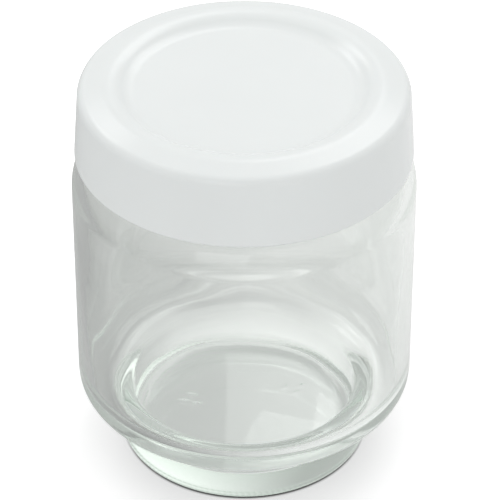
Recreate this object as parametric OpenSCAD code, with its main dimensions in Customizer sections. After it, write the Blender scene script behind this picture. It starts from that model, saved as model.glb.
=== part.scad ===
// A small glass jar with a stepped foot, a sealing ring and a white screw lid.
// The origin is the centre of the foot, at the height of the surface it stands on. +Z is up.

/* [Glass body] */
// Outside diameter of the straight wall
body_d = 70; // [66:0.5:90]
// Height of the glass, from the foot to the lip
jar_h = 84.1; // [70:0.1:130]
// Thickness of the glass wall
glass_t = 2.6; // [2:0.1:3.4]
// Outside radius where the straight wall turns under
turn_r = 4.2; // [3:0.1:5.5]
// Outside radius of the shoulder
shoulder_r = 9; // [7:0.1:10]

/* [Foot] */
// How far the foot is set back from the straight wall
foot_inset = 8.8; // [8:0.1:11]
// Height of the foot, up to the underside of the body
foot_h = 13; // [10:0.5:18]
// Radius of the foot's lower edge
foot_edge_r = 1.6; // [0.8:0.1:2.4]
// Radius between the foot and the underside of the body
foot_fillet_r = 2; // [1:0.1:3]
// Thickness of the glass wall of the foot
foot_t = 2.8; // [2.4:0.1:3.6]
// Radius of the rounded step from the body down into the foot
step_r = 3.4; // [2:0.1:4]
// Width of the flat ledge inside, between that step and the rounding up to the wall
ledge_w = 1; // [0.5:0.1:2]
// Height of the inside floor above the surface it stands on
floor_h = 4.6; // [3.6:0.1:7]
// Inside radius around the floor
floor_r = 3; // [1:0.1:4]
// Width of the flat ring that the jar stands on
stand_w = 3; // [2:0.1:5]
// Rise of the hollow underside inside that ring
push_up = 1.2; // [0.6:0.1:2]

/* [Neck] */
// Thickness of the glass wall of the neck
neck_t = 2.4; // [2:0.1:3]
// Radius of the lip's edges
lip_r = 0.8; // [0.3:0.1:1.1]
// Radius where the shoulder runs into the neck, outside and inside
neck_fillet_r = 1; // [0.5:0.1:1.5]

/* [Thread] */
// Number of ridges on the neck, and of lugs in the lid
starts = 4; // [3:1:4]
// Rise of the lid in one full turn
lead = 14; // [12:0.5:16]
// How far a ridge stands out of the neck
ridge_out = 1.5; // [1:0.1:1.6]
// Height of a ridge at its root
ridge_h = 1.8; // [1.2:0.1:2]
// Height of a ridge at its tip
ridge_tip_h = 0.8; // [0.4:0.1:1]
// Angle of the neck that one ridge covers
ridge_angle = 80; // [50:1:84]
// Angle over which a ridge runs out at each end
ridge_taper = 14; // [6:1:20]
// Distance from the lip down to the lower end of a ridge
ridge_drop = 7.6; // [6.8:0.1:8.4]
// Angle of the lid that one lug covers
lug_angle = 14; // [8:1:16]
// Height of a lug at its root
lug_h = 1.6; // [1:0.1:1.8]
// Height of a lug at its tip
lug_tip_h = 0.6; // [0.4:0.1:0.8]
// Angle from a ridge's lower end to the lug that hooks under it
lug_start = 24; // [14:1:30]
// Space between a lug's tip and the neck
lug_gap = 0.5; // [0.3:0.1:0.7]

/* [Lid] */
// Height of the lid
lid_h = 16.1; // [14:0.1:18]
// Thickness of the lid
lid_t = 1.4; // [1.2:0.1:1.6]
// Slope of the skirt, inwards to the top
skirt_slope = 4; // [1:0.5:5]
// Slope of the rim, down from the recess to the rounded top edge
rim_slope = 14; // [8:1:16]
// Radius of the lid's rounded top edge
lid_round_r = 2; // [1.8:0.1:3]
// Radius of the lid's lower edge
lid_edge_r = 0.5; // [0.2:0.1:0.6]
// Depth of the recess in the top
recess_depth = 1.8; // [1.4:0.1:2.4]
// Steepest slope of the recess's side
recess_slope = 35; // [30:1:50]
// Space around the foot of another jar that is set down in the recess
stack_gap = 1.2; // [0.8:0.1:1.6]
// How far the lid's plug is set back from the recess's edge
plug_inset = 0.2; // [0:0.1:0.6]
// Space between the lid's plug and the mouth
plug_gap = 0.4; // [0.3:0.05:0.6]
// Space between a ridge's tip and the top of the skirt's inside
ridge_gap = 0.4; // [0.3:0.1:0.8]
// Space between the skirt's inner edge and the glass shoulder under it
skirt_gap = 2.1; // [0.6:0.1:3]

/* [Sealing ring] */
// Thickness of the ring
ring_t = 0.8; // [0.5:0.1:1.2]
// Space around the ring, to the lip, the ceiling and the plug
ring_gap = 0.05; // [0.02:0.01:0.1]

/* [Hidden] */
$fn = 128;

// Each diameter follows from the one before: the foot fits the recess of another jar's lid, the
// recess covers the plug, which fits the mouth, and the skirt fits the neck with its ridges
body_r = body_d / 2;
cavity_r = body_r - glass_t;
foot_r = body_r - foot_inset;
recess_r = foot_r + stack_gap;
plug_r = recess_r - plug_inset;
mouth_r = plug_r + plug_gap;
neck_r = mouth_r + neck_t;
seal_r = neck_r - lip_r;
skirt_r = neck_r + ridge_out + ridge_gap;

// Foot
well_r = foot_r - foot_t;
ledge_z = foot_h + glass_t;
inner_turn_r = cavity_r - ledge_w - step_r - well_r;
stand_r = foot_r - foot_edge_r;
hollow_r = stand_r - stand_w;
dome_r = (pow(hollow_r, 2) + pow(push_up, 2)) / (2 * push_up);

// Lid: the recess's side is two equal arcs of radius ogee_r, a hollow one that starts at the edge
// of the flat floor and a round one that ends at the edge of the recess, where the lid is highest.
// The rim falls from there. The ceiling is flat over the sealing ring, and then falls too, lid_t
// under the rim.
ogee_r = recess_depth / 2 / (1 - cos(recess_slope));
ogee_w = ogee_r * sin(recess_slope);
plug_edge_r = lid_t / 3;
ceiling_z = jar_h + ring_t + 2 * ring_gap;
crest_z = ceiling_z + (lid_t - ogee_r) / cos(rim_slope) + (seal_r - recess_r) * tan(rim_slope);
lid_top = crest_z + ogee_r;
lid_z = lid_top - lid_h;
recess_z = lid_top - recess_depth;
lid_round_x = skirt_r + lid_t - lid_round_r;
lid_round_z = crest_z - (lid_round_r - ogee_r) / cos(rim_slope)
    - (lid_round_x - recess_r) * tan(rim_slope);
inner_round_r = lid_round_r - lid_t;

// The skirt's radius at a height: r is lid_round_r for its outside, inner_round_r for its inside
function skirt_x(z, r) = lid_round_x + (lid_round_z - z) * tan(skirt_slope) + r / cos(skirt_slope);

// The shoulder is an arc about shoulder_c, which passes skirt_gap under the skirt's inner edge
shoulder_x = body_r - shoulder_r;
shoulder_z = lid_z - skirt_gap
    - sqrt(pow(shoulder_r, 2) - pow(skirt_x(lid_z, inner_round_r) - shoulder_x, 2));
shoulder_c = [shoulder_x, shoulder_z];

// Thread: a ridge's centre line starts at ridge_z, and a lug runs half a pitch below it. A ridge
// and a lug are each sunk by root_depth into what carries them, so that no crack is left there.
pitch = lead / starts;
ridge_z = jar_h - ridge_drop;
root_depth = 0.3;
ridge_steps = 20;

function helix_z(angle) = lead * angle / 360;

// The centre of an arc of radius r that touches the line x = line_x and, from outside, the arc of
// radius big_r about c
function blend_centre(c, big_r, line_x, r) =
    [line_x + r, c[1] + sqrt(pow(big_r + r, 2) - pow(line_x + r - c[0], 2))];

// A filled rectangle from one corner to the other
module span(low, high) {
    translate(low)
        square(high - low);
}

// The sliver between a right angle at corner and a quarter circle that rounds it. way holds the
// signs of the directions from the corner to the circle's centre.
module corner_fill(corner, way, r) {
    centre = corner + way * r;
    difference() {
        span([min(corner[0], centre[0]), min(corner[1], centre[1])],
             [max(corner[0], centre[0]), max(corner[1], centre[1])]);
        translate(centre)
            circle(r);
    }
}

// The sliver between the arc of radius big_r about c, the line x = line_x and their blend arc
module blend_fill(c, big_r, line_x, r) {
    centre = blend_centre(c, big_r, line_x, r);
    touch = c + (centre - c) * big_r / (big_r + r);
    difference() {
        polygon([c, touch, centre, [min(c[0], line_x) - r, centre[1]]]);
        translate(centre)
            circle(r);
    }
}

// One half of an upright column whose lower outer edge is rounded by r
module round_foot_column(radius, low_z, high_z, r) {
    span([0, low_z], [radius - r, low_z + r]);
    span([0, low_z + r], [radius, high_z]);
    translate([radius - r, low_z + r])
        intersection() {
            circle(r);
            span([0, -r], [r, 0]);
        }
}

// A column that an arc about c narrows from below, and that goes on as a tube up to high_z
module shoulder_column(c, big_r, tube_r, high_z) {
    intersection() {
        translate(c)
            circle(big_r);
        span([0, c[1]], [c[0] + big_r, c[1] + big_r]);
    }
    span([0, c[1]], [tube_r, high_z]);
    blend_fill(c, big_r, tube_r, neck_fillet_r);
}

module jar_outside() {
    round_foot_column(foot_r, 0, foot_h, foot_edge_r);
    corner_fill([foot_r, foot_h], [1, -1], foot_fillet_r);
    round_foot_column(body_r, foot_h, shoulder_z, turn_r);
    shoulder_column(shoulder_c, shoulder_r, neck_r, jar_h);
}

module jar_cavity() {
    round_foot_column(well_r, floor_h, ledge_z, floor_r);
    corner_fill([well_r, ledge_z], [1, -1], step_r);
    round_foot_column(cavity_r, ledge_z, shoulder_z, inner_turn_r);
    shoulder_column(shoulder_c, shoulder_r - glass_t, mouth_r, jar_h + 1);
}

// What the lip's two rounded edges and the hollow underside take away
module jar_cuts() {
    corner_fill([neck_r, jar_h], [-1, -1], lip_r);
    corner_fill([mouth_r, jar_h], [1, -1], lip_r);
    intersection() {
        translate([0, push_up - dome_r])
            circle(dome_r, $fn = 720);
        span([0, 0], [hollow_r, push_up]);
    }
}

// One helical ridge of the neck: sections that rise with the angle and shrink to nothing at the ends
module thread_ridge() {
    steps = [for (i = [0:ridge_steps]) ridge_angle * i / ridge_steps];
    shares = [for (a = steps) min(1, a / ridge_taper, (ridge_angle - a) / ridge_taper)];
    inner_r = neck_r - root_depth;
    low_r = neck_r - root_depth / 2;
    high_r = neck_r + ridge_out;
    points = [for (i = [0:ridge_steps])
        let (a = steps[i], z = ridge_z + helix_z(a), tip_r = low_r + (high_r - low_r) * shares[i])
        for (p = [[inner_r, -ridge_h], [tip_r, -ridge_tip_h], [tip_r, ridge_tip_h], [inner_r, ridge_h]])
            [p[0] * cos(a), p[0] * sin(a), z + p[1] / 2]];
    sides = [for (i = [0:ridge_steps - 1], k = [0:3])
        let (a = 4 * i + k, b = 4 * i + (k + 1) % 4)
        each [[a, b + 4, a + 4], [a, b, b + 4]]];
    last = 4 * ridge_steps;
    caps = [[0, 2, 1], [0, 3, 2], [last, last + 1, last + 2], [last, last + 2, last + 3]];
    polyhedron(points = points, faces = concat(sides, caps));
}

module glass_jar() {
    color([0.86, 0.91, 0.89, 0.4])
        union() {
            rotate_extrude()
                difference() {
                    jar_outside();
                    jar_cavity();
                    jar_cuts();
                }
            for (i = [0:starts - 1])
                rotate([0, 0, 360 / starts * i])
                    thread_ridge();
        }
}

// The ring lies around the plug, between the lip and the flat part of the lid's ceiling
module sealing_ring() {
    color("gainsboro")
        rotate_extrude()
            span([plug_r + ring_gap, jar_h + ring_gap],
                 [seal_r, jar_h + ring_gap + ring_t]);
}

// A column under the rim and inside the skirt's slope, whose upper outer edge is rounded by r about
// the lid's round_c. It reaches from low_z up to high_z at high_x, where the rim's slope begins.
module lid_column(r, low_z, high_x, high_z) {
    round_c = [lid_round_x, lid_round_z];
    polygon([[0, low_z], [skirt_x(low_z, r), low_z],
             round_c + r * [cos(skirt_slope), sin(skirt_slope)], round_c,
             round_c + r * [sin(rim_slope), cos(rim_slope)], [high_x, high_z], [0, high_z]]);
    translate(round_c)
        circle(r);
}

// The lid's outside without its recess
module lid_outside() {
    side_x = skirt_x(lid_z + lid_edge_r, lid_round_r);
    edge_c = [side_x - lid_edge_r / cos(skirt_slope), lid_z + lid_edge_r];
    crest = [recess_r, crest_z] + ogee_r * [sin(rim_slope), cos(rim_slope)];
    lid_column(lid_round_r, edge_c[1] + lid_edge_r * sin(skirt_slope), crest[0], crest[1]);
    translate([recess_r, crest_z])
        circle(ogee_r);
    span([0, lid_z], [edge_c[0], edge_c[1] + lid_edge_r]);
    translate(edge_c)
        circle(lid_edge_r);
}

// The space inside the lid, around the plug
module lid_cavity() {
    difference() {
        lid_column(inner_round_r, lid_z - 1, seal_r, ceiling_z);
        span([0, recess_z - lid_t], [plug_r - plug_edge_r, lid_top]);
        span([0, recess_z - lid_t + plug_edge_r], [plug_r, lid_top]);
        translate([plug_r - plug_edge_r, recess_z - lid_t + plug_edge_r])
            circle(plug_edge_r);
    }
}

// The recess in the top: a flat floor, and a side that is a hollow arc below and a round one above
module lid_recess() {
    floor_edge = [recess_r - 2 * ogee_w, recess_z];
    middle = [recess_r - ogee_w, recess_z + recess_depth / 2];
    difference() {
        polygon([[0, recess_z], floor_edge, middle, [recess_r, lid_top],
                 [recess_r, lid_top + 1], [0, lid_top + 1]]);
        translate([recess_r, crest_z])
            circle(ogee_r);
    }
    intersection() {
        translate(floor_edge + [0, ogee_r])
            circle(ogee_r);
        span(floor_edge, middle);
    }
}

// One lug on the inside of the skirt, below the ridge that it hooks under
module lug() {
    tip_r = neck_r + lug_gap;
    z = ridge_z + helix_z(lug_start + lug_angle / 2) - pitch / 2;
    root_r = skirt_x(z, inner_round_r) + root_depth;
    rotate([0, 0, lug_start])
        rotate_extrude(angle = lug_angle)
            polygon([[root_r, z - lug_h / 2], [tip_r, z - lug_tip_h / 2],
                     [tip_r, z + lug_tip_h / 2], [root_r, z + lug_h / 2]]);
}

module screw_lid() {
    color("white")
        union() {
            rotate_extrude()
                difference() {
                    lid_outside();
                    lid_cavity();
                    lid_recess();
                }
            for (i = [0:starts - 1])
                rotate([0, 0, 360 / starts * i])
                    lug();
        }
}

glass_jar();
sealing_ring();
screw_lid();
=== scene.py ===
"""A clear glass portion jar with a stepped foot, a foam sealing ring and a white screw lid.

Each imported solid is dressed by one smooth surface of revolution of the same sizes. The outlines and
the pieces are in millimetres, and become metres as a mesh is made. The finishes and the studio are
in metres. Angles are in degrees, apart from those of a Turned surface, which are in radians.
"""
import logging
import math
from dataclasses import dataclass
from enum import Enum

import bpy
import numpy as np
from mathutils import Euler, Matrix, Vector


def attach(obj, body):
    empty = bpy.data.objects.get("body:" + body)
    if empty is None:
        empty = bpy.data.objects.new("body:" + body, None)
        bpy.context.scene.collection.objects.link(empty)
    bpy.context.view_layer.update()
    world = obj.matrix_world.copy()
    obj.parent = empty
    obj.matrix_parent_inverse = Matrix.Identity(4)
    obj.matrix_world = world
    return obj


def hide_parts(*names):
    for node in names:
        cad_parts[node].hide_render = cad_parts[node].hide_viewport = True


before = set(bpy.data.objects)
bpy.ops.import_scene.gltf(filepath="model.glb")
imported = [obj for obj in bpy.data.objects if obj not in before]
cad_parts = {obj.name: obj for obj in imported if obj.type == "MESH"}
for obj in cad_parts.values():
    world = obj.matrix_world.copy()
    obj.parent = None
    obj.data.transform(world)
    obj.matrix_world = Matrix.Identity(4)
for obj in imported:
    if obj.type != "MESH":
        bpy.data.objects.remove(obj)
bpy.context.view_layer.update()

MM = 0.001
LOG = logging.getLogger("glass_jar")
Socket = bpy.types.NodeSocket
Point = tuple[float, float]
Pair = tuple[float, float]
Place = tuple[float, float, float]
Colour = tuple[float, float, float]


class Ends(Enum):
    """How a surface of revolution closes."""

    POLES = "its first and last rows are points on the axis"
    LOOP = "its last row joins its first"


class Zone(Enum):
    """The part of a piece that an outline's stroke belongs to."""

    PLAIN = "left as drawn"
    BASE = "the hollow underside"
    STAND = "the flat ring that the jar stands on"
    NECK = "the outside of the neck"
    INSIDE = "the inside of the body"
    SKIRT = "the inside of the lid's skirt"


# ---------------------------------------------------------------- outlines and surfaces


def ease(share: np.ndarray) -> np.ndarray:
    """0 below 0, 1 above 1, and 3s^2 - 2s^3 of the share s between."""
    held = np.clip(share, 0, 1)
    return held * held * (3 - 2 * held)


@dataclass(frozen=True)
class Line:
    """A straight stroke of an outline, from one point of radius and height to another."""

    start: Point
    end: Point
    rows: int
    zone: Zone = Zone.PLAIN

    def points(self) -> np.ndarray:
        """Points that crowd towards both ends: the share along is half of 1 - cos of a half turn."""
        share = (1 - np.cos(np.linspace(0, np.pi, self.rows + 1)[:-1])) / 2
        return np.outer(1 - share, self.start) + np.outer(share, self.end)


@dataclass(frozen=True)
class Stack:
    """A stroke through given heights, at one radius or on a wall that leans out to the bottom."""

    radius: float
    heights: tuple[float, ...]
    zone: Zone = Zone.PLAIN
    lean: float = 0.0

    def points(self) -> np.ndarray:
        """Goes down the wall: the radius grows by the tangent of the lean as the height falls.

        Returns:
            One point a height.
        """
        heights = np.array(self.heights)
        radius = self.radius + (heights[0] - heights) * math.tan(math.radians(self.lean))
        return np.stack([radius, heights], axis=-1)


@dataclass(frozen=True)
class Arc:
    """A stroke along a circle about a centre, from one angle to another."""

    centre: Point
    radius: float
    start: float
    end: float
    rows: int
    zone: Zone = Zone.PLAIN

    def points(self) -> np.ndarray:
        """Evenly spaced points: the centre plus the radius times cos and sin of the angle."""
        turn = np.radians(np.linspace(self.start, self.end, self.rows + 1)[:-1])
        return np.column_stack([np.cos(turn), np.sin(turn)]) * self.radius + self.centre


@dataclass(frozen=True)
class Dish:
    """A slightly dished floor from its edge to the axis."""

    edge: Point
    middle_z: float
    rows: int
    zone: Zone = Zone.PLAIN

    def points(self) -> np.ndarray:
        """Goes in to the axis: the height above the middle grows with the square of the radius.

        Returns:
            Points in even steps of radius, without the one on the axis.
        """
        share = np.linspace(1, 0, self.rows + 1)[:-1]
        height = self.middle_z + (self.edge[1] - self.middle_z) * share**2
        return np.stack([self.edge[0] * share, height], axis=-1)


Stroke = Line | Stack | Arc | Dish


@dataclass
class Outline:
    """The half section of a round piece, with the material on the left of its strokes."""

    strokes: list[Stroke]
    last: Point | None

    def rows(self) -> tuple[np.ndarray, np.ndarray]:
        """Lays the strokes end to end.

        Returns:
            The points, one row each of radius and height, and the zone of each as an object array.
        """
        parts = [stroke.points() for stroke in self.strokes]
        zones = [stroke.zone for stroke, part in zip(self.strokes, parts) for _ in part]
        if self.last is not None:
            parts.append(np.array([self.last]))
            zones.append(Zone.PLAIN)
        return np.vstack(parts), np.array(zones, dtype=object)


@dataclass
class Turned:
    """A surface as rows of points carried round the Z axis, all in millimetres and radians."""

    radius: np.ndarray
    angle: np.ndarray
    height: np.ndarray
    zones: np.ndarray
    ends: Ends

    @classmethod
    def from_outline(cls, outline: Outline, columns: int, ends: Ends) -> "Turned":
        """Repeats each outline point round the axis.

        Args:
            outline: The half section.
            columns: Steps round the axis.
            ends: How the surface closes.

        Returns:
            Arrays of one row per outline point and one column per step.
        """
        points, zones = outline.rows()
        angle = np.broadcast_to(np.arange(columns) * 2 * np.pi / columns, (len(points), columns))
        spread = np.ones((1, columns))
        return cls(points[:, :1] * spread, angle.copy(), points[:, 1:] * spread, zones, ends)

    def only(self, zone: Zone) -> np.ndarray:
        """1 in the rows of a zone and 0 elsewhere, as a column."""
        return (self.zones == zone).astype(float)[:, None]

    def build(self, name: str) -> bpy.types.Object:
        """Makes the mesh: x and y are the radius times cos and sin of the angle, and z is the height.

        Args:
            name: The piece's name.

        Returns:
            A smooth, closed object at the origin, with its faces outwards.
        """
        x, y = self.radius * np.cos(self.angle), self.radius * np.sin(self.angle)
        grid = np.stack([x, y, self.height], axis=-1) * MM
        columns = self.radius.shape[1]
        closed = self.ends is Ends.LOOP
        inner = grid if closed else grid[1:-1]
        index = np.arange(inner.shape[0] * columns).reshape(-1, columns)
        low = index if closed else index[:-1]
        high = np.roll(index, -1, axis=0) if closed else index[1:]
        quads = np.stack([low, np.roll(low, -1, 1), np.roll(high, -1, 1), high], -1).reshape(-1, 4)
        vertices = inner.reshape(-1, 3)
        faces = quads.tolist()
        if not closed:
            first, last = len(vertices), len(vertices) + 1
            vertices = np.vstack([vertices, grid[0, :1], grid[-1, :1]])
            near, far = index[0], index[-1]
            faces += np.stack([np.roll(near, -1), near, np.full(columns, first)], -1).tolist()
            faces += np.stack([far, np.roll(far, -1), np.full(columns, last)], -1).tolist()
        mesh = bpy.data.meshes.new(name)
        mesh.from_pydata(vertices.tolist(), [], faces)
        mesh.polygons.foreach_set("use_smooth", np.ones(len(mesh.polygons), bool))
        mesh.update()
        piece = bpy.data.objects.new(name, mesh)
        bpy.context.scene.collection.objects.link(piece)
        return piece


# ---------------------------------------------------------------- finishes


class Ray(Enum):
    """What is known of a ray that reaches a surface."""

    CAMERA = "Is Camera Ray"
    SHADOW = "Is Shadow Ray"
    DIFFUSE = "Is Diffuse Ray"
    GLOSSY = "Is Glossy Ray"
    TRANSMISSION = "Is Transmission Ray"
    TIMES_MIRRORED = "Glossy Depth"


class Nodes:
    """A material's node tree, with short ways to add and join nodes."""

    def __init__(self, owner: bpy.types.Material | bpy.types.World) -> None:
        """Empties the node tree of a material or a world.

        Args:
            owner: The material or the world that holds the tree.
        """
        owner.use_nodes = True
        self.owner = owner
        self.tree = owner.node_tree
        self.tree.nodes.clear()

    @classmethod
    def material(cls, name: str) -> "Nodes":
        """Starts an empty node material."""
        return cls(bpy.data.materials.new(name))

    def add(self, kind: str, **values: object) -> bpy.types.Node:
        """Adds a node of a kind and sets its properties or, failing those, its inputs.

        Args:
            kind: The node's type without the ShaderNode in front.
            **values: Property names, or input names with _ for each space.

        Returns:
            The node.
        """
        node = self.tree.nodes.new("ShaderNode" + kind)
        for key, value in values.items():
            if hasattr(node, key):
                setattr(node, key, value)
            else:
                node.inputs[key.replace("_", " ")].default_value = value
        return node

    def join(self, source: Socket, target: Socket) -> None:
        """Links an output to an input."""
        self.tree.links.new(source, target)

    def place(self) -> Socket:
        """The place on the object, in metres."""
        return self.add("TexCoord").outputs["Object"]

    def split(self, place: Socket) -> tuple[Socket, Socket, Socket]:
        """Splits a place or a direction.

        Args:
            place: The place or direction.

        Returns:
            Its X, Y and Z.
        """
        node = self.add("SeparateXYZ")
        self.join(place, node.inputs[0])
        x, y, z = node.outputs
        return x, y, z

    def ray(self, kind: Ray) -> Socket:
        """What is known of the ray: 1 or 0, or the number of times."""
        return self.add("LightPath").outputs[kind.value]

    def either(self, first: Ray, second: Ray) -> Socket:
        """Tells rays of two kinds from the rest.

        Args:
            first: A kind of ray.
            second: Another kind.

        Returns:
            1 for rays of the two kinds, and 0 for the rest.
        """
        node = self.add("Math", operation="MAXIMUM")
        self.join(self.ray(first), node.inputs[0])
        self.join(self.ray(second), node.inputs[1])
        return node.outputs[0]

    def through(self) -> Socket:
        """1 for rays off gloss and through glass, and 0 for the rest."""
        return self.either(Ray.GLOSSY, Ray.TRANSMISSION)

    def blend(
        self, share: Socket, low: float | Socket, high: float | Socket, span: Pair = (0.0, 1.0)
    ) -> Socket:
        """Goes from low to high as a share crosses a span.

        Args:
            share: The number that decides.
            low: The result up to the span's start, a number or an output.
            high: The result from the span's end on.
            span: The share's start and end.

        Returns:
            The result's output.
        """
        node = self.add("MapRange", From_Min=span[0], From_Max=span[1])
        self.join(share, node.inputs["Value"])
        for name, value in (("To Min", low), ("To Max", high)):
            if isinstance(value, Socket):
                self.join(value, node.inputs[name])
            else:
                node.inputs[name].default_value = value
        return node.outputs["Result"]

    def tint(self, share: Socket, low: Colour, high: Colour) -> Socket:
        """Goes from one colour to another.

        Args:
            share: The number that decides.
            low: The colour where it is 0.
            high: The colour where it is 1.

        Returns:
            The colour's output.
        """
        node = self.add("Mix", data_type="RGBA")
        self.join(share, node.inputs["Factor"])
        node.inputs["A"].default_value = (*low, 1)
        node.inputs["B"].default_value = (*high, 1)
        return node.outputs["Result"]

    def choose(self, share: Socket, low: Socket, high: Socket) -> Socket:
        """Chooses between two surfaces.

        Args:
            share: The number that decides.
            low: The surface where it is 0.
            high: The surface where it is 1.

        Returns:
            The surface's output.
        """
        node = self.add("MixShader")
        self.join(share, node.inputs["Fac"])
        self.join(low, node.inputs[1])
        self.join(high, node.inputs[2])
        return node.outputs["Shader"]

    def noise(self, place: Socket, scale: float, detail: float) -> Socket:
        """Makes smooth noise.

        Args:
            place: Where it is read.
            scale: Blotches a metre.
            detail: How many finer layers it has.

        Returns:
            A number from 0 to 1, mostly from 0.3 to 0.7.
        """
        node = self.add("TexNoise", Scale=scale, Detail=detail, Roughness=0.5)
        self.join(place, node.inputs["Vector"])
        return node.outputs["Fac"]

    def spread(self, value: Socket, low: float, high: float) -> Socket:
        """Spreads the middle of a noise, 0.3 to 0.7, over low to high."""
        return self.blend(value, low, high, (0.3, 0.7))

    def bump(self, height: Socket, depth: float, under: Socket | None = None) -> Socket:
        """Makes bumps.

        Args:
            height: A number from 0 to 1, the share of the depth.
            depth: How high the bumps are, in metres.
            under: The bumps that these lie on, if any.

        Returns:
            The surface's new direction.
        """
        node = self.add("Bump", Distance=depth, Strength=1.0)
        self.join(height, node.inputs["Height"])
        if under is not None:
            self.join(under, node.inputs["Normal"])
        return node.outputs["Normal"]

    def finish(self, surface: Socket, volume: Socket | None = None) -> bpy.types.Material:
        """Ends the tree.

        Args:
            surface: What goes to the material's surface.
            volume: What fills its inside, if anything does.

        Returns:
            The material.
        """
        output = self.add("OutputMaterial")
        self.join(surface, output.inputs["Surface"])
        if volume is not None:
            self.join(volume, output.inputs["Volume"])
        return self.owner


@dataclass(frozen=True)
class ClearGlass:
    """Pressed soda-lime glass: faintly green in its depth, with a softly uneven fire-polished skin.

    Depths and spans are in metres, and scales in blotches a metre. A ray that is lost inside the glass
    ends in a painted glow that stands for light: its brightness is that at the start and the end of a
    span, and painted_side_glow is that at the left side of the foot.
    """

    tint: Colour = (0.96, 0.97, 0.96)
    ior: float = 1.52
    roughness: Pair = (0.01, 0.03)
    haze_scale: float = 60.0
    wave_depth: float = 0.00003
    wave_scale: float = 90.0
    ripple_depth: float = 0.0000036
    ripple_scale: float = 420.0
    depth_tint: Colour = (0.66, 0.76, 0.69)
    density: float = 28.0
    lamp_tint: Colour = (0.58, 0.59, 0.585)
    most_mirrored: int = 2
    painted_glow_tint: Colour = (0.99, 1.0, 0.985)
    painted_foot_glow: Pair = (1.9, 0.57)
    foot_span: Pair = (-0.024, 0.008)
    painted_side_glow: float = 0.62
    side_span: Pair = (-0.022, -0.017)
    painted_body_glow: Pair = (0.56, 0.85)
    body_span: Pair = (-0.030, 0.018)
    foot_top: Pair = (0.009, 0.012)

    def painted_room_glow(self, nodes: Nodes, place: Socket) -> Socket:
        """Gives the painted glow that stands for the light around the glass.

        It is painted light. In the foot it is light on the left, apart from its left side, and dimmer
        on the right. Above the foot it is the other way round.

        Args:
            nodes: The glass's node tree.
            place: The place on the glass.

        Returns:
            The painted glow's brightness.
        """
        x, _, z = nodes.split(place)
        front = nodes.blend(x, *self.painted_foot_glow, span=self.foot_span)
        foot = nodes.blend(x, self.painted_side_glow, front, span=self.side_span)
        body = nodes.blend(x, *self.painted_body_glow, span=self.body_span)
        return nodes.blend(z, foot, body, span=self.foot_top)

    def material(self) -> bpy.types.Material:
        """Builds the glass.

        Light that falls on what lies behind goes straight through, a little dimmed. A ray that has
        been mirrored inside the wall more than most_mirrored times would be lost, so it ends in a
        painted glow that stands for the light around the glass.

        Returns:
            Refracting glass whose depth takes up light.
        """
        nodes = Nodes.material("clear_glass")
        place = nodes.place()
        wave = nodes.bump(nodes.noise(place, self.wave_scale, 1.0), self.wave_depth)
        skin = nodes.bump(nodes.noise(place, self.ripple_scale, 2.0), self.ripple_depth, wave)
        haze = nodes.spread(nodes.noise(place, self.haze_scale, 1.0), *self.roughness)
        glass = nodes.add("BsdfPrincipled", Base_Color=(*self.tint, 1), IOR=self.ior)
        glass.inputs["Transmission Weight"].default_value = 1.0
        nodes.join(haze, glass.inputs["Roughness"])
        nodes.join(skin, glass.inputs["Normal"])
        # Painted light: an emission in the glass where a ray is lost, brighter or dimmer by place.
        painted_room_glow = nodes.add("Emission", Color=(*self.painted_glow_tint, 1))
        nodes.join(self.painted_room_glow(nodes, place), painted_room_glow.inputs["Strength"])
        trapped = nodes.add("Math", operation="GREATER_THAN")
        nodes.join(nodes.ray(Ray.TIMES_MIRRORED), trapped.inputs[0])
        trapped.inputs[1].default_value = self.most_mirrored + 0.5
        seen = nodes.choose(trapped.outputs[0], glass.outputs["BSDF"], painted_room_glow.outputs["Emission"])
        clear = nodes.add("BsdfTransparent", Color=(*self.lamp_tint, 1))
        lighting = nodes.either(Ray.SHADOW, Ray.DIFFUSE)
        surface = nodes.choose(lighting, seen, clear.outputs["BSDF"])
        depth = nodes.add("VolumeAbsorption", Color=(*self.depth_tint, 1), Density=self.density)
        return nodes.finish(surface, depth.outputs["Volume"])


@dataclass(frozen=True)
class WhitePlastic:
    """Moulded white polypropylene: semi-gloss, a little light in it, with a fine satin grain.

    Depths and the reach of the light in it are in metres, and scales in blotches a metre.
    """

    colour: Colour = (0.875, 0.905, 0.897)
    shade: Colour = (0.855, 0.885, 0.877)
    mottle_scale: float = 45.0
    ior: float = 1.49
    roughness: Pair = (0.20, 0.25)
    gloss_scale: float = 40.0
    sag_depth: float = 0.000016
    sag_scale: float = 60.0
    grain_depth: float = 0.0000008
    grain_scale: float = 5200.0
    inner_light: float = 0.1
    inner_reach: float = 0.002
    inner_share: Colour = (1.0, 0.95, 0.9)

    def material(self) -> bpy.types.Material:
        """Builds the plastic.

        Returns:
            A gloss that varies over the surface, above a faintly mottled white.
        """
        nodes = Nodes.material("white_plastic")
        place = nodes.place()
        flow = nodes.spread(nodes.noise(place, self.mottle_scale, 3.0), 0.0, 1.0)
        gloss = nodes.spread(nodes.noise(place, self.gloss_scale, 2.0), *self.roughness)
        sag = nodes.bump(nodes.noise(place, self.sag_scale, 1.0), self.sag_depth)
        satin = nodes.bump(nodes.noise(place, self.grain_scale, 2.0), self.grain_depth, sag)
        plastic = nodes.add("BsdfPrincipled", IOR=self.ior)
        plastic.inputs["Subsurface Weight"].default_value = self.inner_light
        plastic.inputs["Subsurface Scale"].default_value = self.inner_reach
        plastic.inputs["Subsurface Radius"].default_value = self.inner_share
        nodes.join(nodes.tint(flow, self.colour, self.shade), plastic.inputs["Base Color"])
        nodes.join(gloss, plastic.inputs["Roughness"])
        nodes.join(satin, plastic.inputs["Normal"])
        return nodes.finish(plastic.outputs["BSDF"])


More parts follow.
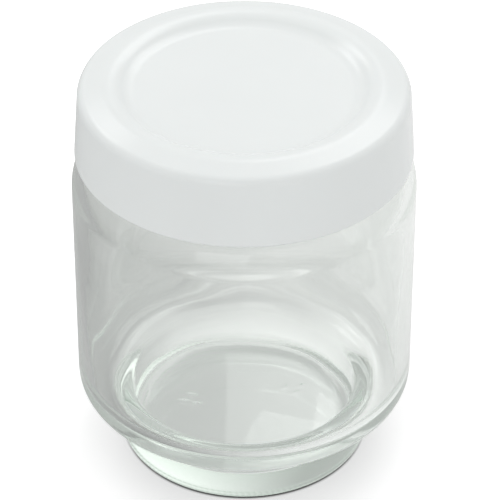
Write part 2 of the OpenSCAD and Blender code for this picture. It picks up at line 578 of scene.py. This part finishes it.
@dataclass(frozen=True)
class SealFoam:
    """Soft closed-cell foam: matt, pale and finely pitted, with its pits' depth in metres."""

    colour: Colour = (0.80, 0.80, 0.77)
    pit_shade: Colour = (0.62, 0.62, 0.59)
    pit_scale: float = 3200.0
    pit_depth: float = 0.00006
    roughness: float = 0.85

    def material(self) -> bpy.types.Material:
        """Builds the foam.

        Returns:
            A matt surface with pits about 0.3 mm across, with painted shade inside them.
        """
        nodes = Nodes.material("seal_foam")
        cells = nodes.add("TexVoronoi", Scale=self.pit_scale)
        nodes.join(nodes.place(), cells.inputs["Vector"])
        rise = cells.outputs["Distance"]
        foam = nodes.add("BsdfPrincipled", Roughness=self.roughness)
        # Painted shade: the colour darkens towards the middle of each pit.
        nodes.join(nodes.tint(rise, self.pit_shade, self.colour), foam.inputs["Base Color"])
        nodes.join(nodes.bump(rise, self.pit_depth), foam.inputs["Normal"])
        return nodes.finish(foam.outputs["BSDF"])


@dataclass(frozen=True)
class FloorWhite:
    """Matt white that glows a little where it is seen, so that it reads white.

    Through glass and in gloss it has painted shade, darker to the left of the jar than to the right.
    There it also has a painted glow that stands for the light that the jar gathers under it: a disc
    that is brighter in its right half, a ring under the foot's wall that is brighter at the left, and
    a halo that fades to the left. A thin line where the foot meets the floor is a painted shadow, dark
    where little light comes in.

    Spans are places across or along the floor, or radii where they end a disc, a ring or a line,
    all in metres. Albedos and glows are those at the start and the end of their span.
    """

    # A thin painted shadow where the foot meets the floor: its radii, albedo and glow.
    contact_shade_end: Pair = (0.0255, 0.0261)
    contact_shade_albedo: Pair = (0.25, 0.92)
    contact_shade_glow: Pair = (0.0, 0.45)
    # Painted shade: seen through glass and in gloss, the floor is darker to the left.
    painted_side_shade: Pair = (0.50, 0.98)
    side_span: Pair = (-0.07, 0.01)
    # Painted light under the jar, seen through glass and in gloss: a disc, a ring and a halo.
    painted_disc_glow: tuple[float, float, float] = (0.575, 0.675, 0.74)
    disc_step: Pair = (-0.0045, -0.0035)
    disc_rise: Pair = (-0.002, 0.020)
    disc_end: Pair = (0.0205, 0.0225)
    painted_ring_glow: Pair = (0.62, 0.46)
    ring_span: Pair = (-0.019, 0.002)
    ring_end: Pair = (0.0255, 0.0268)
    painted_front_glow: Pair = (0.0, 0.48)
    front_span: Pair = (-0.026, 0.014)
    painted_back_glow: Pair = (0.0, 0.44)
    back_span: Pair = (-0.034, -0.018)
    front_to_back: Pair = (-0.012, 0.008)
    halo_end: Pair = (0.032, 0.046)

    def painted_gathered_light(self, nodes: Nodes, place: Socket, radius: Socket) -> Socket:
        """Gives the painted glow that stands for the light that the jar gathers under it.

        Args:
            nodes: The floor's node tree.
            place: The place on the floor.
            radius: The distance from the jar's axis.

        Returns:
            The strength of the glow.
        """
        x, y, _ = nodes.split(place)
        left, middle, right = self.painted_disc_glow
        step = nodes.blend(x, left, middle, span=self.disc_step)
        disc = nodes.blend(x, step, right, span=self.disc_rise)
        ring = nodes.blend(x, *self.painted_ring_glow, span=self.ring_span)
        under = nodes.blend(radius, disc, ring, span=self.disc_end)
        front = nodes.blend(x, *self.painted_front_glow, span=self.front_span)
        back = nodes.blend(x, *self.painted_back_glow, span=self.back_span)
        halo = nodes.blend(y, front, back, span=self.front_to_back)
        around = nodes.blend(radius, under, halo, span=self.ring_end)
        return nodes.blend(radius, around, 0.0, span=self.halo_end)

    def material(self) -> bpy.types.Material:
        """Builds the floor's white.

        Returns:
            A matt surface and a glow, added up.
        """
        nodes = Nodes.material("floor_white")
        place = nodes.place()
        distance = nodes.add("VectorMath", operation="LENGTH")
        nodes.join(place, distance.inputs[0])
        radius = distance.outputs["Value"]
        across = nodes.split(place)[0]
        # Painted shadow: the albedo drops to a dark line where the foot meets the floor.
        plain = nodes.blend(radius, *self.contact_shade_albedo, span=self.contact_shade_end)
        # Painted shade: through glass and in gloss the floor's albedo is darker to the left.
        sides = nodes.blend(across, *self.painted_side_shade, span=self.side_span)
        matt = nodes.add("BsdfDiffuse")
        nodes.join(nodes.blend(nodes.through(), plain, sides), matt.inputs["Color"])
        # Painted shadow: the glow that the camera sees is cut off in the same thin line.
        white = nodes.blend(radius, *self.contact_shade_glow, span=self.contact_shade_end)
        seen = nodes.blend(nodes.ray(Ray.CAMERA), 0.0, white)
        # Through glass and in gloss the floor shows the painted light under the jar.
        strength = nodes.blend(nodes.through(), seen, self.painted_gathered_light(nodes, place, radius))
        glow = nodes.add("Emission", Color=(1, 1, 1, 1))
        nodes.join(strength, glow.inputs["Strength"])
        both = nodes.add("AddShader")
        nodes.join(matt.outputs["BSDF"], both.inputs[0])
        nodes.join(glow.outputs["Emission"], both.inputs[1])
        return nodes.finish(both.outputs["Shader"])


@dataclass(frozen=True)
class PaleSky:
    """A sky that is white where it is seen, and a plain level of grey as light.

    Through glass and in gloss it is dimmer at the left, as in a studio lit from the right: these are
    its levels at the start and the end of a span of its direction's X.
    """

    light: float = 0.69
    in_glass: Pair = (0.28, 0.95)
    in_gloss: Pair = (0.70, 0.80)
    span: Pair = (-0.6, 0.3)

    def world(self) -> bpy.types.World:
        """Builds the sky.

        Returns:
            The world, with a brightness by kind of ray.
        """
        world = bpy.data.worlds.new("studio_sky")
        nodes = Nodes(world)
        across = nodes.split(nodes.add("TexCoord").outputs["Generated"])[0]
        glass = nodes.blend(across, *self.in_glass, span=self.span)
        gloss = nodes.blend(across, *self.in_gloss, span=self.span)
        sides = nodes.blend(nodes.ray(Ray.TRANSMISSION), gloss, glass)
        seen = nodes.blend(nodes.ray(Ray.CAMERA), self.light, 1.0)
        back = nodes.add("Background", Color=(1, 1, 1, 1))
        nodes.join(nodes.blend(nodes.through(), seen, sides), back.inputs["Strength"])
        output = nodes.add("OutputWorld")
        nodes.join(back.outputs["Background"], output.inputs["Surface"])
        return world


# ---------------------------------------------------------------- the jar's pieces


@dataclass(frozen=True)
class Wave:
    """A wave on a round wall, with its number round, its rise a radian and its start in radians."""

    size: float
    turns: int
    rise: float
    start: float

    def at(self, surface: Turned) -> np.ndarray:
        """The size times the sine of: turns times the angle, plus the height over rise, plus start."""
        turn = self.turns * surface.angle + surface.height / self.rise + self.start
        return self.size * np.sin(turn)


@dataclass
class JarGlass:
    """The pressed glass: a stepped foot, a straight body, a round shoulder and a threaded neck.

    The ridges' flank and band are shares of ridge_half, and the bars' end and fade are shares of
    the width of the ring that the jar stands on.
    """

    body_r: float = 35.0
    wall: float = 2.6
    turn_r: float = 4.2
    foot_r: float = 26.2
    foot_h: float = 13.0
    foot_edge_r: float = 1.6
    foot_fillet_r: float = 2.0
    hollow_r: float = 21.6
    push_up: float = 1.2
    well_r: float = 23.4
    floor_z: float = 4.6
    floor_r: float = 3.0
    step_r: float = 3.4
    inner_turn_r: float = 4.6
    shoulder_r: float = 9.0
    shoulder_z: float = 62.6734
    neck_r: float = 30.0
    mouth_r: float = 27.6
    blend_r: float = 1.0
    lip_r: float = 0.8
    height: float = 84.1
    starts: int = 4
    lead: float = 14.0
    ridge_z: float = 76.5
    ridge_out: float = 1.5
    ridge_half: float = 0.9
    ridge_flank: float = 0.6
    ridge_band: float = 1.25
    ridge_angle: float = 80.0
    ridge_taper: float = 14.0
    climb_below: float = 5.1
    climb_above: float = 6.8
    bars: int = 120
    bar_depth: float = 0.07
    bar_end: float = 0.55
    bar_fade: float = 0.2
    dots: tuple[Point, ...] = (
        (-13.0, 4.2), (-11.6, 6.0), (-10.4, 3.0), (9.0, 8.2), (11.2, 6.6), (12.4, 9.0)
    )
    dot_height: float = 0.25
    dot_area: float = 0.35
    waves: tuple[Wave, ...] = (
        Wave(0.050, 3, 7.0, 0.0), Wave(0.030, 7, -4.5, 1.3), Wave(0.022, 11, 9.0, 4.0)
    )
    wave_low: float = 20.2
    wave_fade: float = 6.0
    columns: int = 480

    def blend_centre(self, big_r: float, line_x: float) -> Point:
        """Finds the centre of the arc that leads from the shoulder into the neck.

        Args:
            big_r: The radius of the shoulder's arc.
            line_x: The radius of the neck's wall.

        Returns:
            The centre of the arc of radius blend_r that touches both.
        """
        across = line_x + self.blend_r - (self.body_r - self.shoulder_r)
        rise = math.sqrt((big_r + self.blend_r) ** 2 - across**2)
        return (line_x + self.blend_r, self.shoulder_z + rise)

    def neck_rows(self, low: float, high: float) -> tuple[float, ...]:
        """Spaces the rows of the neck.

        Args:
            low: The height where the neck begins.
            high: The height where it ends.

        Returns:
            Heights up the neck, close together across a thread ridge.
        """
        ridge = self.ridge_z + self.ridge_half * np.linspace(-self.ridge_band, self.ridge_band, 17)
        below = np.linspace(low, ridge[0], 6)[:-1]
        above = np.linspace(ridge[-1], high, 6)[1:-1]
        return tuple(np.concatenate([below, ridge, above]).tolist())

    def outside(self) -> list[Stroke]:
        """Draws the outside. The number after a stroke's ends or angles is its count of rows.

        Returns:
            The outline's strokes from the middle of the underside up to the lip.
        """
        dome_r = (self.hollow_r**2 + self.push_up**2) / (2 * self.push_up)
        dome_end = 90 - math.degrees(math.asin(self.hollow_r / dome_r))
        stand_r = self.foot_r - self.foot_edge_r
        fillet_x = self.foot_r + self.foot_fillet_r
        fillet_z = self.foot_h - self.foot_fillet_r
        turn_x = self.body_r - self.turn_r
        turn_z = self.foot_h + self.turn_r
        shoulder = (self.body_r - self.shoulder_r, self.shoulder_z)
        blend = self.blend_centre(self.shoulder_r, self.neck_r)
        touch = math.degrees(math.atan2(blend[1] - shoulder[1], blend[0] - shoulder[0]))
        lip_z = self.height - self.lip_r
        return [
            Arc((0, self.push_up - dome_r), dome_r, 90, dome_end, 22, Zone.BASE),
            Line((self.hollow_r, 0), (stand_r, 0), 8, Zone.STAND),
            Arc((stand_r, self.foot_edge_r), self.foot_edge_r, -90, 0, 7),
            Line((self.foot_r, self.foot_edge_r), (self.foot_r, fillet_z), 4),
            Arc((fillet_x, fillet_z), self.foot_fillet_r, 180, 90, 8),
            Line((fillet_x, self.foot_h), (turn_x, self.foot_h), 3),
            Arc((turn_x, turn_z), self.turn_r, -90, 0, 12),
            Line((self.body_r, turn_z), (self.body_r, self.shoulder_z), 6),
            Arc(shoulder, self.shoulder_r, 0, touch, 13),
            Arc(blend, self.blend_r, 180 + touch, 180, 5),
            Stack(self.neck_r, self.neck_rows(blend[1], lip_z), Zone.NECK),
            Arc((self.neck_r - self.lip_r, lip_z), self.lip_r, 0, 90, 6),
        ]

    def inside(self) -> list[Stroke]:
        """Draws the inside.

        Returns:
            The outline's strokes from the lip down to the middle of the floor.
        """
        shoulder = (self.body_r - self.shoulder_r, self.shoulder_z)
        inner_r = self.shoulder_r - self.wall
        blend = self.blend_centre(inner_r, self.mouth_r)
        touch = math.degrees(math.atan2(blend[1] - shoulder[1], blend[0] - shoulder[0]))
        lip_z = self.height - self.lip_r
        cavity_r = self.body_r - self.wall
        ledge_z = self.foot_h + self.wall
        turn = (cavity_r - self.inner_turn_r, ledge_z + self.inner_turn_r)
        step = (self.well_r + self.step_r, ledge_z - self.step_r)
        mouth_x = self.mouth_r + self.lip_r
        round_x, round_z = self.well_r - self.floor_r, self.floor_z + self.floor_r
        return [
            Line((self.neck_r - self.lip_r, self.height), (mouth_x, self.height), 2),
            Arc((mouth_x, lip_z), self.lip_r, 90, 180, 6),
            Line((self.mouth_r, lip_z), (self.mouth_r, blend[1]), 2),
            Arc(blend, self.blend_r, 180, 180 + touch, 5),
            Arc(shoulder, inner_r, touch, 0, 12),
            Line((cavity_r, self.shoulder_z), (cavity_r, turn[1]), 11, Zone.INSIDE),
            Arc(turn, self.inner_turn_r, 0, -90, 12),
            Line((turn[0], ledge_z), (step[0], ledge_z), 3),
            Arc(step, self.step_r, 90, 180, 10),
            Line((self.well_r, step[1]), (self.well_r, round_z), 3),
            Arc((round_x, round_z), self.floor_r, 0, -90, 9),
            Line((round_x, self.floor_z), (0, self.floor_z), 5),
        ]

    def climb(self, surface: Turned) -> None:
        """Lifts the neck's rows along the thread.

        The lift is the lead times the angle past a ridge's start, over a full turn. It falls back to
        nothing between two ridges, and fades out towards the shoulder and the lip.

        Args:
            surface: The glass, which is changed.
        """
        past = np.degrees(surface.angle) % (360 / self.starts)
        gap = 360 / self.starts - self.ridge_angle
        lift = self.lead * past / 360 * (1 - ease((past - self.ridge_angle) / gap))
        band = self.ridge_half * self.ridge_band
        above = surface.height - self.ridge_z
        rise = (above + self.climb_below) / (self.climb_below - band)
        fall = (self.climb_above - above) / (self.climb_above - band)
        fade = np.clip(np.minimum(rise, fall), 0, 1)
        surface.height += surface.only(Zone.NECK) * lift * fade

    def add_ridges(self, surface: Turned) -> None:
        """Raises the thread ridges on the neck.

        A ridge's height is ridge_out times the eased share of the way in from its flank, times the
        share of the way in from its nearer end. It reads the rows' places from before they climb.

        Args:
            surface: The glass, which is changed.
        """
        past = np.degrees(surface.angle) % (360 / self.starts)
        ends = np.minimum(past, self.ridge_angle - past) / self.ridge_taper
        within = self.ridge_half - np.abs(surface.height - self.ridge_z)
        out = self.ridge_out * ease(within / (self.ridge_half * self.ridge_flank))
        surface.radius += surface.only(Zone.NECK) * out * np.clip(ends, 0, 1)

    def add_bars(self, surface: Turned) -> None:
        """Cuts the fine radial bars into the ring that the jar stands on.

        The cut goes up by bar_depth times half of 1 - cos of the number of bars times the angle. It
        runs from the ring's inner edge to bar_end, and fades out at both.

        Args:
            surface: The glass, which is changed.
        """
        width = self.foot_r - self.foot_edge_r - self.hollow_r
        across = (surface.radius - self.hollow_r) / width
        window = ease(across / self.bar_fade) * ease((self.bar_end - across) / self.bar_fade)
        wave = (1 - np.cos(self.bars * surface.angle)) / 2
        surface.height += surface.only(Zone.STAND) * self.bar_depth * window * wave

    def add_dots(self, surface: Turned) -> None:
        """Presses a few small round dots into the underside.

        A dot's height is dot_height times e to the power of minus the square of the distance from
        its middle over dot_area.

        Args:
            surface: The glass, which is changed.
        """
        x, y = surface.radius * np.cos(surface.angle), surface.radius * np.sin(surface.angle)
        hills = sum(np.exp(-((x - a) ** 2 + (y - b) ** 2) / self.dot_area) for a, b in self.dots)
        surface.height += surface.only(Zone.BASE) * self.dot_height * hills

    def add_unevenness(self, surface: Turned) -> None:
        """Lets the inside wall wander by a tenth of a millimetre.

        It is the sum of the waves, faded out at the top and bottom of the wall.

        Args:
            surface: The glass, which is changed.
        """
        wander = sum(wave.at(surface) for wave in self.waves)
        low = ease((surface.height - self.wave_low) / self.wave_fade)
        high = ease((self.shoulder_z - surface.height) / self.wave_fade)
        surface.radius += surface.only(Zone.INSIDE) * wander * (low * high)

    def build(self) -> bpy.types.Object:
        """Makes the glass and puts it in the place of its solid.

        Returns:
            The piece, riding on the jar.
        """
        outline = Outline(self.outside() + self.inside(), (0, self.floor_z))
        surface = Turned.from_outline(outline, self.columns, Ends.POLES)
        self.add_ridges(surface)
        self.climb(surface)
        self.add_bars(surface)
        self.add_dots(surface)
        self.add_unevenness(surface)
        piece = surface.build("jar_body")
        piece.data.materials.append(ClearGlass().material())
        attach(piece, "jar")
        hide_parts("glass_jar")
        return piece


@dataclass
class SealRing:
    """The foam ring between the jar's lip and the lid."""

    inner_r: float = 27.25
    outer_r: float = 29.2
    low_z: float = 84.15
    thick: float = 0.8
    edge_r: float = 0.22
    columns: int = 288

    def build(self) -> bpy.types.Object:
        """Makes the ring, a rounded bar carried round the axis, in the place of its solid.

        Returns:
            The piece, riding on the ring's body.
        """
        e, top = self.edge_r, self.low_z + self.thick
        left, right, low, high = self.inner_r + e, self.outer_r - e, self.low_z + e, top - e
        strokes: list[Stroke] = [
            Line((left, self.low_z), (right, self.low_z), 5),
            Arc((right, low), e, -90, 0, 5),
            Line((self.outer_r, low), (self.outer_r, high), 4),
            Arc((right, high), e, 0, 90, 5),
            Line((right, top), (left, top), 5),
            Arc((left, high), e, 90, 180, 5),
            Line((self.inner_r, high), (self.inner_r, low), 4),
            Arc((left, low), e, 180, 270, 5),
        ]
        surface = Turned.from_outline(Outline(strokes, None), self.columns, Ends.LOOP)
        piece = surface.build("seal_ring")
        piece.data.materials.append(SealFoam().material())
        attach(piece, "ring")
        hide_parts("sealing_ring")
        return piece


@dataclass
class ScrewLid:
    """The white lid: a sloping skirt, a round edge, a rim that falls outwards and a recess."""

    low_z: float = 70.6393
    top_z: float = 86.7393
    thick: float = 1.4
    edge_r: float = 0.5
    round_c: Point = (31.3, 83.858)
    round_r: float = 2.0
    skirt_slope: float = 4.0
    rim_slope: float = 14.0
    recess_r: float = 27.4
    recess_depth: float = 1.8
    recess_slope: float = 35.0
    dish: float = 0.25
    plug_r: float = 27.2
    seal_r: float = 29.2
    ceiling_z: float = 85.0
    starts: int = 4
    lug_start: float = 24.0
    lug_angle: float = 14.0
    lug_z: float = 75.956
    lug_half: float = 0.8
    lug_tip_half: float = 0.3
    lug_rows: tuple[float, ...] = (1.2, 0.8, 0.55, 0.3, 0.0, -0.3, -0.55, -0.8, -1.2)
    lug_r: float = 30.5
    columns: int = 480

    def off(self, centre: Point, radius: float, angle: float) -> Point:
        """The point at a radius and an angle from a centre."""
        turn = math.radians(angle)
        return (centre[0] + radius * math.cos(turn), centre[1] + radius * math.sin(turn))

    def ogee(self) -> Pair:
        """Sizes the recess's side, which is two equal arcs that turn opposite ways.

        Returns:
            The radius of the arcs, and the radius of the recess's flat floor.
        """
        slope = math.radians(self.recess_slope)
        radius = self.recess_depth / 2 / (1 - math.cos(slope))
        return (radius, self.recess_r - 2 * radius * math.sin(slope))

    def skirt_x(self, height: float, radius: float) -> float:
        """Finds how far out the skirt is.

        Args:
            height: The height to look at.
            radius: The radius of the round edge above, on the outside or on the inside.

        Returns:
            The skirt's distance from the axis.
        """
        lean = math.radians(self.skirt_slope)
        out = (self.round_c[1] - height) * math.tan(lean)
        return self.round_c[0] + out + radius / math.cos(lean)

    def skirt_inside(self) -> Stack:
        """Draws the inside of the skirt.

        Returns:
            The stroke down it, with rows close together across the lugs.
        """
        top = self.off(self.round_c, self.round_r - self.thick, self.skirt_slope)
        lug = self.lug_z + np.array(self.lug_rows)
        above = np.linspace(top[1], lug[0], 5)[:-1]
        below = np.linspace(lug[-1], self.low_z, 5)[1:-1]
        heights = tuple(np.concatenate([above, lug, below]).tolist())
        return Stack(top[0], heights, Zone.SKIRT, self.skirt_slope)

    def strokes(self) -> list[Stroke]:
        """Draws the lid. The number after a stroke's ends or angles is its count of rows.

        Returns:
            The outline's strokes from the middle of the underside round the skirt to the recess.
        """
        inner = self.round_r - self.thick
        steep = 90 - self.rim_slope
        floor = self.top_z - self.recess_depth
        under = floor - self.thick
        plug_round = self.thick / 3
        plug_x, plug_z = self.plug_r - plug_round, under + plug_round
        ogee, floor_r = self.ogee()
        edge_z = self.low_z + self.edge_r
        lean = math.radians(self.skirt_slope)
        edge_x = self.skirt_x(edge_z, self.round_r) - self.edge_r / math.cos(lean)
        crest = (self.recess_r, self.top_z - ogee)
        lower = self.off((edge_x, edge_z), self.edge_r, self.skirt_slope)
        upper = self.off(self.round_c, self.round_r, self.skirt_slope)
        brow = self.off(self.round_c, self.round_r, steep)
        top = self.off(crest, ogee, steep)
        return [
            Line((0, under), (plug_x, under), 10),
            Arc((plug_x, plug_z), plug_round, -90, 0, 5),
            Line((self.plug_r, plug_z), (self.plug_r, self.ceiling_z), 3),
            Line((self.plug_r, self.ceiling_z), (self.seal_r, self.ceiling_z), 3),
            Line((self.seal_r, self.ceiling_z), self.off(self.round_c, inner, steep), 3),
            Arc(self.round_c, inner, steep, self.skirt_slope, 8),
            self.skirt_inside(),
            Line((self.skirt_x(self.low_z, inner), self.low_z), (edge_x, self.low_z), 4),
            Arc((edge_x, edge_z), self.edge_r, -90, self.skirt_slope, 7),
            Line(lower, upper, 10),
            Arc(self.round_c, self.round_r, self.skirt_slope, steep, 14),
            Line(brow, top, 6),
            Arc(crest, ogee, steep, 90 + self.recess_slope, 16),
            Arc((floor_r, floor + ogee), ogee, self.recess_slope - 90, -90, 12),
            Dish((floor_r, floor), floor - self.dish, 16),
        ]

    def add_lugs(self, surface: Turned) -> None:
        """Raises the lugs inwards from the skirt.

        A lug reaches in from the wall to its tip's radius, times the share of the way from its root
        to its tip face, where the angle past its start lies within the lug.

        Args:
            surface: The lid, which is changed.
        """
        past = np.degrees(surface.angle) % (360 / self.starts)
        within = (past >= self.lug_start) & (past <= self.lug_start + self.lug_angle)
        off = np.abs(surface.height - self.lug_z)
        flank = np.clip((self.lug_half - off) / (self.lug_half - self.lug_tip_half), 0, 1)
        surface.radius -= surface.only(Zone.SKIRT) * (surface.radius - self.lug_r) * flank * within

    def build(self) -> bpy.types.Object:
        """Makes the lid and puts it in the place of its solid.

        Returns:
            The piece, riding on the lid's body.
        """
        floor = self.top_z - self.recess_depth
        outline = Outline(self.strokes(), (0, floor - self.dish))
        surface = Turned.from_outline(outline, self.columns, Ends.POLES)
        self.add_lugs(surface)
        piece = surface.build("lid_shell")
        piece.data.materials.append(WhitePlastic().material())
        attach(piece, "lid")
        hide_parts("screw_lid")
        return piece


# ---------------------------------------------------------------- floor, light and camera


@dataclass(frozen=True)
class Softbox:
    """A rectangular lamp that faces a point."""

    name: str
    place: Place
    aim: Place
    width: float
    depth: float
    watts: float

    def build(self) -> None:
        """Hangs the lamp."""
        data = bpy.data.lights.new(self.name, "AREA")
        data.shape = "RECTANGLE"
        data.size, data.size_y = self.width, self.depth
        data.energy = self.watts
        lamp = bpy.data.objects.new(self.name, data)
        lamp.location = self.place
        line = Vector(self.aim) - Vector(self.place)
        lamp.rotation_euler = line.to_track_quat("-Z", "Y").to_euler()
        bpy.context.scene.collection.objects.link(lamp)


@dataclass
class Studio:
    """A white floor, a pale sky, soft lamps and the camera.

    The camera aims at a point on the jar's axis, along a line that drops by elevation, and is then
    turned to the right by pan. Its lens and its sensor's width are in millimetres.
    """

    floor_half: float = 3.0
    aim_z: float = 0.04525
    distance: float = 0.6169
    elevation: float = 36.2
    pan: float = 0.109
    lens: float = 215.3
    sensor: float = 36.0

    def lamps(self) -> list[Softbox]:
        """Plans the lamps.

        Returns:
            A broad key overhead, a panel behind at each side, and a fill in front.
        """
        return [
            Softbox("key", (-0.05, 0.02, 1.0), (0, 0, 0.05), 0.9, 0.9, 0.8),
            Softbox("back_panel", (0.235, 0.525, 0.74), (0, 0, 0.085), 0.50, 0.40, 1.3),
            Softbox("left_panel", (-0.435, 0.483, 0.67), (0, 0, 0.085), 0.42, 0.20, 0.7),
            Softbox("fill", (-0.25, -0.95, 0.5), (0, 0, 0.06), 0.6, 0.6, 0.85),
        ]

    def build_floor(self) -> None:
        h = self.floor_half
        mesh = bpy.data.meshes.new("floor")
        mesh.from_pydata([(-h, -h, 0), (h, -h, 0), (h, h, 0), (-h, h, 0)], [], [(0, 1, 2, 3)])
        floor = bpy.data.objects.new("floor", mesh)
        bpy.context.scene.collection.objects.link(floor)
        mesh.materials.append(FloorWhite().material())

    def build_camera(self) -> None:
        """Sets up the camera."""
        lean = math.radians(self.elevation)
        aim = Vector((0, 0, self.aim_z))
        place = aim + Vector((0, -math.cos(lean), math.sin(lean))) * self.distance
        data = bpy.data.cameras.new("camera")
        data.lens, data.sensor_width = self.lens, self.sensor
        camera = bpy.data.objects.new("camera", data)
        look = Euler((math.radians(90) - lean, 0, 0)).to_matrix()
        turn = Euler((0, -math.radians(self.pan), 0)).to_matrix()
        camera.matrix_world = (look @ turn).to_4x4()
        camera.location = place
        bpy.context.scene.collection.objects.link(camera)
        bpy.context.scene.camera = camera

    def build(self) -> None:
        """Builds the camera, the floor, the sky and the lamps."""
        self.build_camera()
        self.build_floor()
        bpy.context.scene.world = PaleSky().world()
        for lamp in self.lamps():
            lamp.build()
        bpy.context.scene.view_settings.view_transform = "Standard"


def report(piece: bpy.types.Object) -> None:
    """Logs a piece's name and its count of triangles."""
    piece.data.calc_loop_triangles()
    LOG.info("%s: %d triangles", piece.name, len(piece.data.loop_triangles))


def main() -> None:
    """Builds the studio and the three pieces in order, and reports each piece."""
    logging.basicConfig(level=logging.INFO, format="%(name)s %(message)s")
    Studio().build()
    for part in (JarGlass(), SealRing(), ScrewLid()):
        report(part.build())


if __name__ == "__main__":
    main()
